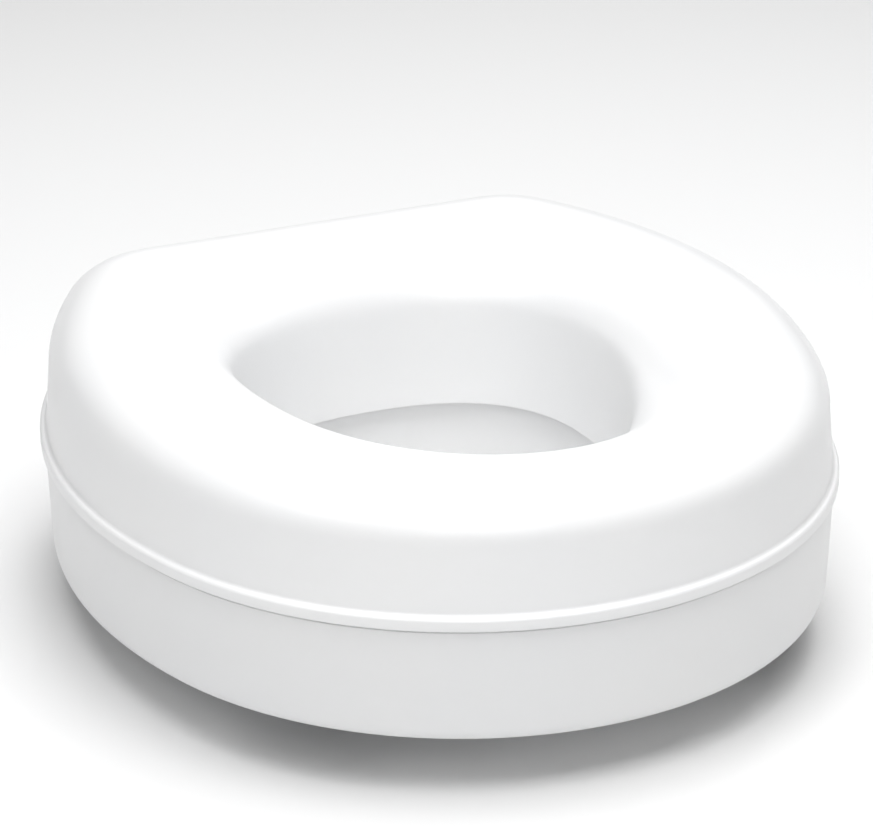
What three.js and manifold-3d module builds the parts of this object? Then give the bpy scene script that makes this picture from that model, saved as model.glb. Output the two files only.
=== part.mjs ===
// Raised toilet seat: a contoured seat moulding screwed down on a riser base. Rubber pads sit under
// the base's flange, a skirt drops inside the bowl, and two side brackets, each held by a bolt and a
// thumb nut, slide outwards to bear on the inside of the bowl's rim.
// Millimetres, +Z up, the front at -Y. The origin is under the middle, level with the skirt's bottom.
import * as THREE from 'three';
import { mergeVertices } from 'three/addons/utils/BufferGeometryUtils.js';
import Module from 'manifold-3d';

// ---- driving dimensions ----
const GAP = 0.3;

// Outline of the lip, the widest part: a straight rear edge, two corner arcs, two side arcs, a front arc.
const HALF_WIDTH = 193;
const HALF_LENGTH = 199.5;
const CORNER_RADIUS = 62;
const SIDE_RADIUS = 283;
const CORNER_END = THREE.MathUtils.degToRad(32);
const STEPS = { rear: 4, corner: 9, side: 12, front: 11 };

// Opening in the seat, at the height of the crest: two half ellipses that meet where it is widest. The
// rear one is filled out at its corners and the longer front one is drawn in.
const HOLE_Y = 23.8;
const HOLE_HALF_WIDTH = 102.6;
const HOLE_REAR = 95.2;
const HOLE_FRONT = 146.1;
const HOLE_REAR_SWELL = 0.06;
const HOLE_FRONT_SWELL = -0.05;

// Heights.
const SKIRT_DROP = 28;
const RIM_Z = SKIRT_DROP;
const LIP_BOTTOM = RIM_Z + 57.7;
const LIP_RIDGE = RIM_Z + 64;
const REVEAL = 1.3;
const TOP_Z = RIM_Z + 127.8;

// Seat moulding.
const SEAT_WALL = 3.5;
const LIP_REACH = 3.5;
const UPPER_TAPER = 2.6;
const SHOULDER_WIDTH = 38.5;
const SHOULDER_HEIGHT = 31.6;
const DISH_SLOPE = 17.6;
const DISH_EDGE = 22;
const DISH_EDGE_POWER = 3.17;
const FRONT_DIP = 7.4;
const DIP_START = 20;
const WALL_LEAN = 10;
const DRIP_EDGE_Z = RIM_Z + 36.8;
const SHOULDER_STEPS = 5;
const DISH_STEPS = 8;
const WALL_STEPS = 4;

// Riser base.
const BASE_WALL = 3.5;
const BASE_TOP_INSET = 2.3;
const BASE_FOOT_INSET = 3.8;
const BASE_FOOT_RADIUS = 5.5;
const FLANGE_BOTTOM = RIM_Z + 1;
const FLANGE_TOP = FLANGE_BOTTOM + 4.5;
const TONGUE_THICKNESS = 2.7;
const TONGUE_TOP = RIM_Z + 66;
const COLLAR_OFFSET = -3;
const COLLAR_WALL = 3.5;
const COLLAR_TOP = RIM_Z + 52;

// Screws that hold the two mouldings together, in deep wells open from below.
const SCREW_COUNT = 8;
const SCREW_INSET = LIP_REACH + UPPER_TAPER + SHOULDER_WIDTH;
const WELL_TOP = RIM_Z + 60;
const WELL_PLATE = 3.5;
const WELL_RADIUS = 6;
const WELL_WALL = 2.5;
const BOSS_RADIUS = 6;
const PILOT_RADIUS = 2.4;
const SCREW_RADIUS = 2;
const SCREW_HEAD_RADIUS = 4.2;
const SCREW_HEAD_HEIGHT = 2.6;
const SCREW_GRIP = 14;
const RIB_THICKNESS = 2.5;
const BASE_RIB_TOP = RIM_Z + 30;
const SEAT_RIB_BOTTOM = RIM_Z + 72;

// Rubber pads on which the flange rests.
const PAD_OUTER_INSET = 14;
const PAD_INNER_INSET = 34;
const PAD_HEIGHT = 3.2;
const PAD_ARC = THREE.MathUtils.degToRad(13);
const PAD_END_GAP = 0.45;

// Side brackets.
const BOLT_X = 113;
const BOLT_Y = 4;
const BOLT_RADIUS = 2.95;
const BOLT_HOLE = 3.3;
const BOLT_HEAD_RADIUS = 7;
const BOLT_HEAD_HEIGHT = 3;
const BOLT_END = RIM_Z - 19;
const NECK_HALF = 2.95;
const BRACKET_TRAVEL = 12;
const BRACKET_PLATE = 3.5;
const BRACKET_INNER = 7.5;
const LEG_INNER = 10.5;
const LEG_THICKNESS = 3.5;
const LEG_BOTTOM = 3;
const BRACKET_HALF_WIDTH = 18;
const BRACKET_PAD = 3;
const WASHER_RADIUS = 7;
const WASHER_THICKNESS = 1.6;
const NUT_RADIUS = 8.2;
const NUT_LOBE = 0.8;
const NUT_LOBES = 6;
const NUT_HEIGHT = 10;

const wasm = await Module();
wasm.setup();

// ---- materials ----
function shellPlastic() {
  return new THREE.MeshStandardMaterial({ color: 0xf3f4f5, roughness: 0.28, metalness: 0 });
}

function bracketPlastic() {
  return new THREE.MeshStandardMaterial({ color: 0xd5d8db, roughness: 0.45, metalness: 0 });
}

function padRubber() {
  return new THREE.MeshStandardMaterial({ color: 0x6d7175, roughness: 0.85, metalness: 0 });
}

function fastenerSteel() {
  return new THREE.MeshStandardMaterial({ color: 0xb4b8bd, roughness: 0.3, metalness: 1 });
}

// ---- solids and booleans ----
function toSolid(geometry) {
  const bare = geometry.clone();
  bare.deleteAttribute('normal');
  bare.deleteAttribute('uv');
  const merged = mergeVertices(bare, 1e-4);
  return new wasm.Manifold(new wasm.Mesh({
    numProp: 3,
    vertProperties: new Float32Array(merged.attributes.position.array),
    triVerts: new Uint32Array(merged.index.array),
  }));
}

function toGeometry(solid) {
  const mesh = solid.getMesh();
  const geometry = new THREE.BufferGeometry();
  geometry.setAttribute('position', new THREE.BufferAttribute(new Float32Array(mesh.vertProperties), 3));
  geometry.setIndex(new THREE.BufferAttribute(new Uint32Array(mesh.triVerts), 1));
  geometry.computeVertexNormals();
  return geometry;
}

function box(sizeX, sizeY, sizeZ, x, y, z) {
  return toSolid(new THREE.BoxGeometry(sizeX, sizeY, sizeZ).translate(x, y, z));
}

function post(radius, bottom, top, x, y, sides = 16) {
  const geometry = new THREE.CylinderGeometry(radius, radius, top - bottom, sides);
  return toSolid(geometry.rotateX(Math.PI / 2).translate(x, y, (bottom + top) / 2));
}

// A turned solid about a vertical axis, from [radius, height] pairs that run upwards.
function turned(pairs, x, y, sides = 16) {
  const points = pairs.map(([radius, height]) => new THREE.Vector2(radius, height));
  return toSolid(new THREE.LatheGeometry(points, sides).rotateX(Math.PI / 2).translate(x, y, 0));
}

function mesh(name, solid, material) {
  const result = new THREE.Mesh(toGeometry(solid), material);
  result.name = name;
  return result;
}

// ---- the outline and the opening ----
function arcPoint(centre, radius, angle) {
  const nx = Math.cos(angle);
  const ny = Math.sin(angle);
  return { x: centre.x + radius * nx, y: centre.y + radius * ny, nx, ny };
}

function arcPoints(centre, radius, from, to, steps) {
  return Array.from({ length: steps }, (_, i) => arcPoint(centre, radius, from + ((to - from) * i) / steps));
}

// Points with outward normals, anticlockwise from above. The arcs meet tangentially.
function outline() {
  const bend = { x: Math.cos(CORNER_END), y: Math.sin(CORNER_END) };
  const rearHalf = HALF_WIDTH - SIDE_RADIUS * (1 - bend.x) - CORNER_RADIUS * bend.x;
  const corner = { x: rearHalf, y: HALF_LENGTH - CORNER_RADIUS };
  const side = {
    x: corner.x + (CORNER_RADIUS - SIDE_RADIUS) * bend.x,
    y: corner.y + (CORNER_RADIUS - SIDE_RADIUS) * bend.y,
  };
  const reach = SIDE_RADIUS - HALF_LENGTH;
  const frontY = (reach ** 2 - side.x ** 2 - side.y ** 2) / (2 * (reach - side.y));
  const frontAngle = Math.atan2(frontY - side.y, -side.x);
  const half = [
    ...Array.from({ length: STEPS.rear }, (_, i) => {
      return { x: (rearHalf * i) / STEPS.rear, y: HALF_LENGTH, nx: 0, ny: 1 };
    }),
    ...arcPoints(corner, CORNER_RADIUS, Math.PI / 2, CORNER_END, STEPS.corner),
    ...arcPoints(side, SIDE_RADIUS, CORNER_END, frontAngle, STEPS.side),
    ...arcPoints({ x: 0, y: frontY }, frontY + HALF_LENGTH, frontAngle, -Math.PI / 2, STEPS.front),
    { x: 0, y: -HALF_LENGTH, nx: 0, ny: -1 },
  ];
  const mirrored = half.slice(1, -1).map((p) => ({ x: -p.x, y: p.y, nx: -p.nx, ny: p.ny }));
  return [...half.reverse(), ...mirrored];
}

// The opening's edge on a ray from its centre, with the outward normal.
function holeEdge(angle) {
  const rear = Math.sin(angle) > 0;
  const reach = rear ? HOLE_REAR : HOLE_FRONT;
  const amount = rear ? HOLE_REAR_SWELL : HOLE_FRONT_SWELL;
  const turn = Math.atan2(Math.sin(angle) / reach, Math.cos(angle) / HOLE_HALF_WIDTH);
  const x = HOLE_HALF_WIDTH * Math.cos(turn);
  const y = reach * Math.sin(turn);
  const swell = 1 + amount * Math.sin(2 * turn) ** 2;
  const growth = 2 * amount * Math.sin(4 * turn);
  const alongX = growth * x - swell * HOLE_HALF_WIDTH * Math.sin(turn);
  const alongY = growth * y + swell * reach * Math.cos(turn);
  const speed = Math.hypot(alongX, alongY);
  return { x: swell * x, y: HOLE_Y + swell * y, nx: alongY / speed, ny: -alongX / speed };
}

// Each station pairs a point of the outline with the point of the opening on the same ray.
const STATIONS = outline().map((outer) => {
  const angle = Math.atan2(outer.y - HOLE_Y, outer.x);
  return { angle, outer, hole: holeEdge(angle) };
});

// Points of a cross-section, as functions of the station.
const inside = (inset, z) => ({ outer }) => new THREE.Vector3(
  outer.x - inset * outer.nx,
  outer.y - inset * outer.ny,
  z,
);

const around = (offset, z) => ({ hole }) => new THREE.Vector3(
  hole.x + offset * hole.nx,
  hole.y + offset * hole.ny,
  z,
);

const between = (inset, offset, share, z) => (station) => {
  return inside(inset, z)(station).lerp(around(offset, z)(station), share);
};

// A point lowered by a share of the dip towards the front.
const dipped = (point, share) => (station) => {
  const dip = FRONT_DIP * THREE.MathUtils.smoothstep(DIP_START - station.outer.y, 0, DIP_START + HALF_LENGTH);
  const result = point(station);
  result.z -= share * dip;
  return result;
};

// A closed ring: the cross-section runs up its outer side and back down its inner side.
function ring(section) {
  const count = section.length;
  const positions = STATIONS.flatMap((station) => section.flatMap((point) => point(station).toArray()));
  const index = [];
  STATIONS.forEach((_, i) => {
    const next = (i + 1) % STATIONS.length;
    section.forEach((__, j) => {
      const up = (j + 1) % count;
      const a = i * count + j;
      const b = next * count + j;
      const c = next * count + up;
      const d = i * count + up;
      index.push(a, b, c, a, c, d);
    });
  });
  const geometry = new THREE.BufferGeometry();
  geometry.setAttribute('position', new THREE.Float32BufferAttribute(positions, 3));
  geometry.setIndex(index);
  return toSolid(geometry);
}

// A stretch of a ring between two insets from the outline, with flat ends.
function ringStretch(stations, outerInset, innerInset, bottom, top) {
  const section = [
    inside(outerInset, bottom),
    inside(outerInset, top),
    inside(innerInset, top),
    inside(innerInset, bottom),
  ];
  const positions = stations.flatMap((station) => section.flatMap((point) => point(station).toArray()));
  const last = (stations.length - 1) * 4;
  const index = [0, 1, 2, 0, 2, 3, last, last + 2, last + 1, last, last + 3, last + 2];
  for (let i = 0; i < last; i += 4) {
    for (let j = 0; j < 4; j += 1) {
      const up = (j + 1) % 4;
      index.push(i + j, i + 4 + j, i + 4 + up, i + j, i + 4 + up, i + up);
    }
  }
  const geometry = new THREE.BufferGeometry();
  geometry.setAttribute('position', new THREE.Float32BufferAttribute(positions, 3));
  geometry.setIndex(index);
  return toSolid(geometry);
}

function nearestStation(angle) {
  const apart = (station) => Math.abs(Math.atan2(
    Math.sin(station.angle - angle),
    Math.cos(station.angle - angle),
  ));
  return STATIONS.reduce((best, station) => (apart(station) < apart(best) ? station : best));
}

// ---- seat moulding ----
// How far the opening has leant in at a depth below the crest: fast at first, upright at the drip edge.
function lean(drop) {
  const left = 1 - drop / (TOP_Z - DRIP_EDGE_Z);
  return -WALL_LEAN * (1 - left ** 2);
}

// The outer skin from the lip's wall over the shoulder and the dish to the opening, set in by depth.
// The dish falls in a broad slope that rounds over into the opening's wall.
function seatSkin(depth) {
  const upperInset = LIP_REACH + UPPER_TAPER;
  const shoulderFoot = TOP_Z - SHOULDER_HEIGHT;
  const crestInset = upperInset + SHOULDER_WIDTH;
  const shoulder = Array.from({ length: SHOULDER_STEPS }, (_, i) => {
    const angle = ((i + 1) / SHOULDER_STEPS) * (Math.PI / 2);
    const inset = upperInset + depth + (SHOULDER_WIDTH - depth) * (1 - Math.cos(angle));
    const rise = (SHOULDER_HEIGHT - depth) * Math.sin(angle);
    return dipped(inside(inset, shoulderFoot + rise), Math.sin(angle));
  });
  const dish = Array.from({ length: DISH_STEPS }, (_, i) => {
    const angle = ((i + 1) / DISH_STEPS) * (Math.PI / 2);
    const share = Math.sin(angle) ** (2 / DISH_EDGE_POWER);
    const edge = 1 - Math.max(Math.cos(angle), 0) ** (2 / DISH_EDGE_POWER);
    const drop = DISH_SLOPE * share ** 2 + (DISH_EDGE - depth) * edge;
    return dipped(between(crestInset, depth + lean(depth + drop), share, TOP_Z - depth - drop), 1);
  });
  return [inside(upperInset + depth, shoulderFoot), ...shoulder, ...dish];
}

// The opening's wall between the dish and the drip edge, set in by depth.
function openingWall(depth) {
  const dishEnd = DISH_SLOPE + DISH_EDGE;
  return Array.from({ length: WALL_STEPS - 1 }, (_, i) => {
    const share = (i + 1) / WALL_STEPS;
    const drop = THREE.MathUtils.lerp(dishEnd, TOP_Z - DRIP_EDGE_Z, share);
    return dipped(around(depth + lean(drop), TOP_Z - drop), 1 - share);
  });
}

function seatSection() {
  const innerInset = LIP_REACH + SEAT_WALL;
  const outerFace = [
    inside(0.6, LIP_BOTTOM),
    inside(0, LIP_BOTTOM + 0.8),
    inside(0, LIP_RIDGE - 1),
    inside(1.1, LIP_RIDGE),
    inside(2.4, LIP_RIDGE + 0.4),
    inside(LIP_REACH, LIP_RIDGE + 2.2),
    ...seatSkin(0),
    ...openingWall(0),
    around(-WALL_LEAN, DRIP_EDGE_Z + 1.2),
    around(1.2 - WALL_LEAN, DRIP_EDGE_Z),
  ];
  const innerFace = [
    inside(innerInset, LIP_BOTTOM),
    inside(innerInset, LIP_RIDGE + 5.5),
    ...seatSkin(SEAT_WALL),
    ...openingWall(SEAT_WALL),
    around(SEAT_WALL - WALL_LEAN, DRIP_EDGE_Z + 0.8),
  ];
  return [...outerFace, ...innerFace.reverse()];
}

// The space under the seat's skin, from a little inside it down to the bottom of its screw bosses.
function seatFilling() {
  return ring([
    inside(LIP_REACH + UPPER_TAPER + 1, WELL_TOP),
    ...seatSkin(1),
    around(1 + lean(TOP_Z - WELL_TOP), WELL_TOP),
  ]);
}

// ---- riser base ----
function baseSection() {
  const shoulder = LIP_BOTTOM - REVEAL;
  const tongueInset = LIP_REACH + SEAT_WALL + GAP;
  const foot = Array.from({ length: 4 }, (_, i) => {
    const angle = (i / 3) * (Math.PI / 2);
    const inset = BASE_FOOT_INSET + 0.5 * BASE_FOOT_RADIUS * (1 - Math.sin(angle));
    return inside(inset, FLANGE_BOTTOM + BASE_FOOT_RADIUS * (1 - Math.cos(angle)));
  });
  return [
    ...foot,
    inside(BASE_TOP_INSET, shoulder),
    inside(tongueInset, shoulder),
    inside(tongueInset, TONGUE_TOP),
    inside(tongueInset + TONGUE_THICKNESS, TONGUE_TOP),
    inside(tongueInset + TONGUE_THICKNESS, shoulder - 4),
    inside(BASE_TOP_INSET + BASE_WALL, shoulder - 9),
    inside(BASE_FOOT_INSET + BASE_WALL, FLANGE_TOP),
    around(COLLAR_OFFSET + COLLAR_WALL, FLANGE_TOP),
    around(COLLAR_OFFSET + COLLAR_WALL - 0.5, COLLAR_TOP),
    around(COLLAR_OFFSET, COLLAR_TOP),
    around(COLLAR_OFFSET, 1.2),
    around(COLLAR_OFFSET + 1, 0),
    around(COLLAR_OFFSET + COLLAR_WALL - 1, 0),
    around(COLLAR_OFFSET + COLLAR_WALL, 1.2),
    around(COLLAR_OFFSET + COLLAR_WALL, FLANGE_BOTTOM),
  ];
}

// ---- places of the screws and pads ----
const SCREWS = Array.from({ length: SCREW_COUNT }, (_, i) => {
  const station = nearestStation(((i + 0.5) / SCREW_COUNT) * 2 * Math.PI);
  return { station, place: inside(SCREW_INSET, 0)(station) };
});

const PADS = {
  rim_pad_rear_right: Math.PI * 0.18,
  rim_pad_rear_left: Math.PI * 0.82,
  rim_pad_front_left: Math.PI * 1.25,
  rim_pad_front_right: Math.PI * 1.75,
};

// The stations within a pad's arc, in order.
function padStations(middle) {
  return STATIONS.filter((station) => {
    const turn = Math.atan2(Math.sin(station.angle - middle), Math.cos(station.angle - middle));
    return Math.abs(turn) < PAD_ARC;
  });
}

// An upright plate through a screw's place, from the opening's side to the outline's side.
function radialRib(screw, bottom, top, innerOffset, outerInset) {
  const start = around(innerOffset, 0)(screw.station);
  const end = inside(outerInset, 0)(screw.station);
  const length = start.distanceTo(end);
  const middle = start.clone().add(end).multiplyScalar(0.5);
  const geometry = new THREE.BoxGeometry(length, RIB_THICKNESS, top - bottom);
  geometry.rotateZ(Math.atan2(end.y - start.y, end.x - start.x));
  return toSolid(geometry.translate(middle.x, middle.y, (bottom + top) / 2));
}

function seatShell() {
  let solid = ring(seatSection());
  const filling = seatFilling();
  SCREWS.forEach((screw) => {
    const { x, y } = screw.place;
    const rib = radialRib(screw, SEAT_RIB_BOTTOM, TOP_Z, -WALL_LEAN, 0);
    const boss = post(BOSS_RADIUS, WELL_TOP + GAP, TOP_Z, x, y);
    const pilot = post(PILOT_RADIUS, WELL_TOP, WELL_TOP + SCREW_GRIP + 3, x, y, 12);
    solid = solid.add(rib.add(boss).intersect(filling)).subtract(pilot);
  });
  return mesh('seat_shell', solid, shellPlastic());
}

function boltSlot(side) {
  const length = BRACKET_TRAVEL + 2 * BOLT_HOLE;
  const x = side * (BOLT_X + BRACKET_TRAVEL / 2);
  return box(length, 2 * BOLT_HOLE, 2 * (FLANGE_TOP - FLANGE_BOTTOM), x, BOLT_Y, FLANGE_BOTTOM + 2);
}

function baseShell() {
  const wall = COLLAR_OFFSET + COLLAR_WALL / 2;
  let solid = ring(baseSection());
  SCREWS.forEach((screw) => {
    const { x, y } = screw.place;
    const rib = radialRib(screw, FLANGE_BOTTOM + 2, BASE_RIB_TOP, wall, BASE_FOOT_INSET + BASE_WALL / 2);
    const tower = post(WELL_RADIUS + WELL_WALL, FLANGE_BOTTOM + 2, WELL_TOP, x, y, 20);
    const bore = post(WELL_RADIUS, 0, WELL_TOP - WELL_PLATE, x, y, 20);
    const clearance = post(PILOT_RADIUS, 0, WELL_TOP + 5, x, y, 12);
    solid = solid.add(rib).add(tower).subtract(bore).subtract(clearance);
  });
  Object.values(PADS).forEach((middle) => {
    const outer = PAD_OUTER_INSET - GAP;
    const inner = PAD_INNER_INSET + GAP;
    const recess = ringStretch(padStations(middle), outer, inner, 0, RIM_Z + PAD_HEIGHT + GAP);
    solid = solid.subtract(recess);
  });
  [-1, 1].forEach((side) => {
    solid = solid.subtract(boltSlot(side));
  });
  return mesh('base_shell', solid, shellPlastic());
}

function shellScrew(screw, number) {
  const { x, y } = screw.place;
  const head = WELL_TOP - WELL_PLATE - GAP;
  const solid = turned([
    [0, head - SCREW_HEAD_HEIGHT],
    [SCREW_HEAD_RADIUS * 0.7, head - SCREW_HEAD_HEIGHT],
    [SCREW_HEAD_RADIUS, head - SCREW_HEAD_HEIGHT * 0.5],
    [SCREW_HEAD_RADIUS, head],
    [SCREW_RADIUS, head],
    [SCREW_RADIUS, WELL_TOP + SCREW_GRIP - 2],
    [0, WELL_TOP + SCREW_GRIP],
  ], x, y, 12);
  return mesh(`shell_screw_${number}`, solid, fastenerSteel());
}

// A station moved along the outline towards another.
function moved({ outer: from }, { outer: to }, distance) {
  const share = distance / Math.hypot(to.x - from.x, to.y - from.y);
  const blend = (key) => from[key] + share * (to[key] - from[key]);
  return { outer: { x: blend('x'), y: blend('y'), nx: blend('nx'), ny: blend('ny') } };
}

// Each pad is a little shorter and narrower than its recess.
function rimPad(name, middle) {
  const stations = padStations(middle);
  const first = moved(stations[0], stations[1], PAD_END_GAP);
  const last = moved(stations.at(-1), stations.at(-2), PAD_END_GAP);
  const shortened = [first, ...stations.slice(1, -1), last];
  const solid = ringStretch(shortened, PAD_OUTER_INSET, PAD_INNER_INSET, RIM_Z, RIM_Z + PAD_HEIGHT);
  return mesh(name, solid, padRubber());
}

// ---- side brackets ----
function bracket(name, side) {
  const top = FLANGE_BOTTOM - GAP;
  const outer = LEG_INNER + LEG_THICKNESS;
  const plateLength = outer + BRACKET_INNER;
  const place = (along) => side * (BOLT_X + along);
  const plate = box(
    plateLength, 2 * BRACKET_HALF_WIDTH, BRACKET_PLATE,
    place((outer - BRACKET_INNER) / 2), BOLT_Y, top - BRACKET_PLATE / 2,
  );
  const leg = box(
    LEG_THICKNESS, 2 * BRACKET_HALF_WIDTH, top - LEG_BOTTOM,
    place(LEG_INNER + LEG_THICKNESS / 2), BOLT_Y, (top + LEG_BOTTOM) / 2,
  );
  const hole = post(BOLT_HOLE, 0, FLANGE_TOP, place(0), BOLT_Y);
  return mesh(name, plate.add(leg).subtract(hole), bracketPlastic());
}

function bracketPad(name, side) {
  const inner = BOLT_X + LEG_INNER + LEG_THICKNESS + GAP;
  const height = FLANGE_BOTTOM - LEG_BOTTOM - 8;
  const solid = box(
    BRACKET_PAD, 2 * BRACKET_HALF_WIDTH - 4, height,
    side * (inner + BRACKET_PAD / 2), BOLT_Y, LEG_BOTTOM + 1 + height / 2,
  );
  return mesh(name, solid, padRubber());
}

function bracketBolt(name, side) {
  const seat = FLANGE_TOP + GAP;
  const round = turned([
    [0, BOLT_END],
    [BOLT_RADIUS - 0.8, BOLT_END],
    [BOLT_RADIUS, BOLT_END + 0.8],
    [BOLT_RADIUS, seat],
    [BOLT_HEAD_RADIUS, seat],
    [BOLT_HEAD_RADIUS, seat + 0.8],
    [BOLT_HEAD_RADIUS * 0.7, seat + BOLT_HEAD_HEIGHT * 0.8],
    [0, seat + BOLT_HEAD_HEIGHT],
  ], side * BOLT_X, BOLT_Y);
  const neckTop = seat + 0.4;
  const neckBottom = FLANGE_BOTTOM + GAP;
  const neck = box(
    2 * NECK_HALF, 2 * NECK_HALF, neckTop - neckBottom,
    side * BOLT_X, BOLT_Y, (neckTop + neckBottom) / 2,
  );
  return mesh(name, round.add(neck), fastenerSteel());
}

const WASHER_TOP = FLANGE_BOTTOM - GAP - BRACKET_PLATE - GAP;
const NUT_TOP = WASHER_TOP - WASHER_THICKNESS - GAP;

function bracketWasher(name, side) {
  const x = side * BOLT_X;
  const disc = post(WASHER_RADIUS, WASHER_TOP - WASHER_THICKNESS, WASHER_TOP, x, BOLT_Y, 24);
  const hole = post(BOLT_HOLE, 0, RIM_Z, x, BOLT_Y);
  return mesh(name, disc.subtract(hole), fastenerSteel());
}

// The grip is lobed, so that it turns under wet fingers.
function thumbNut(name, side) {
  const points = Array.from({ length: 36 }, (_, i) => {
    const angle = (i / 36) * 2 * Math.PI;
    const radius = NUT_RADIUS + NUT_LOBE * Math.cos(NUT_LOBES * angle);
    return new THREE.Vector2(radius * Math.cos(angle), radius * Math.sin(angle));
  });
  const bore = new THREE.Path();
  bore.absarc(0, 0, BOLT_HOLE, 0, 2 * Math.PI, true);
  const shape = new THREE.Shape(points);
  shape.holes.push(bore);
  const geometry = new THREE.ExtrudeGeometry(shape, {
    depth: NUT_HEIGHT, bevelEnabled: false, curveSegments: 6,
  });
  const solid = toSolid(geometry.translate(side * BOLT_X, BOLT_Y, NUT_TOP - NUT_HEIGHT));
  return mesh(name, solid, bracketPlastic());
}

// ---- the assembly ----
const group = new THREE.Group();
group.name = 'raised_toilet_seat';
group.add(seatShell(), baseShell());
SCREWS.forEach((screw, i) => group.add(shellScrew(screw, i + 1)));
Object.entries(PADS).forEach(([name, middle]) => group.add(rimPad(name, middle)));
Object.entries({ left: -1, right: 1 }).forEach(([word, side]) => {
  const clamp = new THREE.Group();
  clamp.add(bracket(`bracket_${word}`, side));
  clamp.add(bracketPad(`bracket_pad_${word}`, side));
  clamp.add(bracketBolt(`bracket_bolt_${word}`, side));
  clamp.add(bracketWasher(`bracket_washer_${word}`, side));
  clamp.add(thumbNut(`thumb_nut_${word}`, side));
  group.add(clamp);
});

export default group;
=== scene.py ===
"""Raised toilet seat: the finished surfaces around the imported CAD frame.

Metres, +Z up, the front at -Y. The overall size and the heights come from the frame. The outline and
the cross-sections repeat the part's own formulas at a finer step.
"""

import math

import bmesh
import bpy
import numpy as np
from mathutils import Matrix, Vector


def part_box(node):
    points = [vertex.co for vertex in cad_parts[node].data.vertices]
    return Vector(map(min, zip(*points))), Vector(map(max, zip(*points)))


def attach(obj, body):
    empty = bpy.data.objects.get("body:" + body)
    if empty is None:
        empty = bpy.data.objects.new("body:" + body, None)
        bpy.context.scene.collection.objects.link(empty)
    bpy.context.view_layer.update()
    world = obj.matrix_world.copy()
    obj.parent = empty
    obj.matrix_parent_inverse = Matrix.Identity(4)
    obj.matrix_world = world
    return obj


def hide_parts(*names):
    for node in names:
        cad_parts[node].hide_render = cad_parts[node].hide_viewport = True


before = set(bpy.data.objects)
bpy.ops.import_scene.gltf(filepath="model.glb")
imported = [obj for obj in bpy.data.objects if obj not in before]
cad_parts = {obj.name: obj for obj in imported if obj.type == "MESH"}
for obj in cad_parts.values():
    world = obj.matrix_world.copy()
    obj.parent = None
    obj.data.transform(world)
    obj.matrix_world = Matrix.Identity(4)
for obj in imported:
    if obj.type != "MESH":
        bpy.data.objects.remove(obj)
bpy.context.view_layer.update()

MM = 0.001
TURN = 2 * math.pi
QUARTER = math.pi / 2
SIDES = {"left": -1, "right": 1}

# ---- sizes and places, from the frame ----
RIM_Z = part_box("rim_pad_front_left")[0][2]
TOP_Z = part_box("seat_shell")[1][2]
DRIP_EDGE_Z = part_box("seat_shell")[0][2]
HALF_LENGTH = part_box("seat_shell")[1][1]
TONGUE_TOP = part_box("base_shell")[1][2]
PAD_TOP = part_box("rim_pad_front_left")[1][2]

# ---- the outline: a straight rear edge, two corner arcs, two side arcs and a front arc ----
HALF_WIDTH = 193 * MM
CORNER_RADIUS = 62 * MM
SIDE_RADIUS = 283 * MM
CORNER_END = math.radians(32)

# ---- the opening: a half ellipse filled out to the rear and a longer one drawn in to the front ----
HOLE_Y = 23.8 * MM
HOLE_HALF_WIDTH = 102.6 * MM
HOLE_REAR = 95.2 * MM
HOLE_FRONT = 146.1 * MM
HOLE_REAR_SWELL = 0.06
HOLE_FRONT_SWELL = -0.05

# ---- the mouldings' cross-sections ----
GAP = 0.3 * MM
LIP_BOTTOM = RIM_Z + 57.7 * MM
LIP_RIDGE = RIM_Z + 64 * MM
REVEAL = 1.3 * MM
SEAT_WALL = 3.5 * MM
LIP_REACH = 3.5 * MM
UPPER_TAPER = 2.6 * MM
SHOULDER_WIDTH = 38.5 * MM
SCREW_INSET = LIP_REACH + UPPER_TAPER + SHOULDER_WIDTH
BRACKET_TRAVEL = 12 * MM
SHOULDER_HEIGHT = 31.6 * MM
DISH_SLOPE = 17.6 * MM
DISH_EDGE = 22 * MM
DISH_EDGE_POWER = 3.17
FRONT_DIP = 7.4 * MM
DIP_START = 20 * MM
WALL_LEAN = 10 * MM
BASE_WALL = 3.5 * MM
BASE_TOP_INSET = 2.3 * MM
BASE_FOOT_INSET = 3.8 * MM
BASE_FOOT_RADIUS = 5.5 * MM
FLANGE_BOTTOM = RIM_Z + 1 * MM
FLANGE_TOP = FLANGE_BOTTOM + 4.5 * MM
TONGUE_THICKNESS = 2.7 * MM
COLLAR_OFFSET = -3 * MM
COLLAR_WALL = 3.5 * MM
COLLAR_TOP = RIM_Z + 52 * MM
WELL_TOP = RIM_Z + 60 * MM
WELL_RADIUS = 6 * MM
WELL_WALL = 2.5 * MM
WELL_PLATE = 3.5 * MM
BOSS_RADIUS = 6 * MM
PILOT_RADIUS = 2.4 * MM
SCREW_GRIP = 14 * MM
RIB_THICKNESS = 2.5 * MM
BASE_RIB_TOP = RIM_Z + 30 * MM
SEAT_RIB_BOTTOM = RIM_Z + 72 * MM
PAD_OUTER_INSET = 14 * MM
PAD_INNER_INSET = 34 * MM
PAD_END_GAP = 0.6 * MM
BOLT_HOLE = 3.3 * MM
NECK_HALF = 2.95 * MM
NUT_RADIUS = 8.2 * MM
NUT_LOBE = 0.8 * MM
NUT_LOBES = 6

AROUND = 320


# ---- mesh helpers ----
def piece(name, mesh, material, body, slot, *nodes):
    """A finished piece that rides on a body and stands for CAD nodes."""
    mesh.materials.append(material)
    made = bpy.data.objects.new(name, mesh)
    bpy.context.scene.collection.objects.link(made)
    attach(made, body)
    if nodes:
        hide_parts(*nodes)
    return made


def smooth(mesh, crease_degrees=35):
    """Smooth shading that keeps edges sharper than the given angle."""
    mesh.polygons.foreach_set("use_smooth", [True] * len(mesh.polygons))
    mesh.set_sharp_from_angle(angle=math.radians(crease_degrees))
    return mesh


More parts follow.
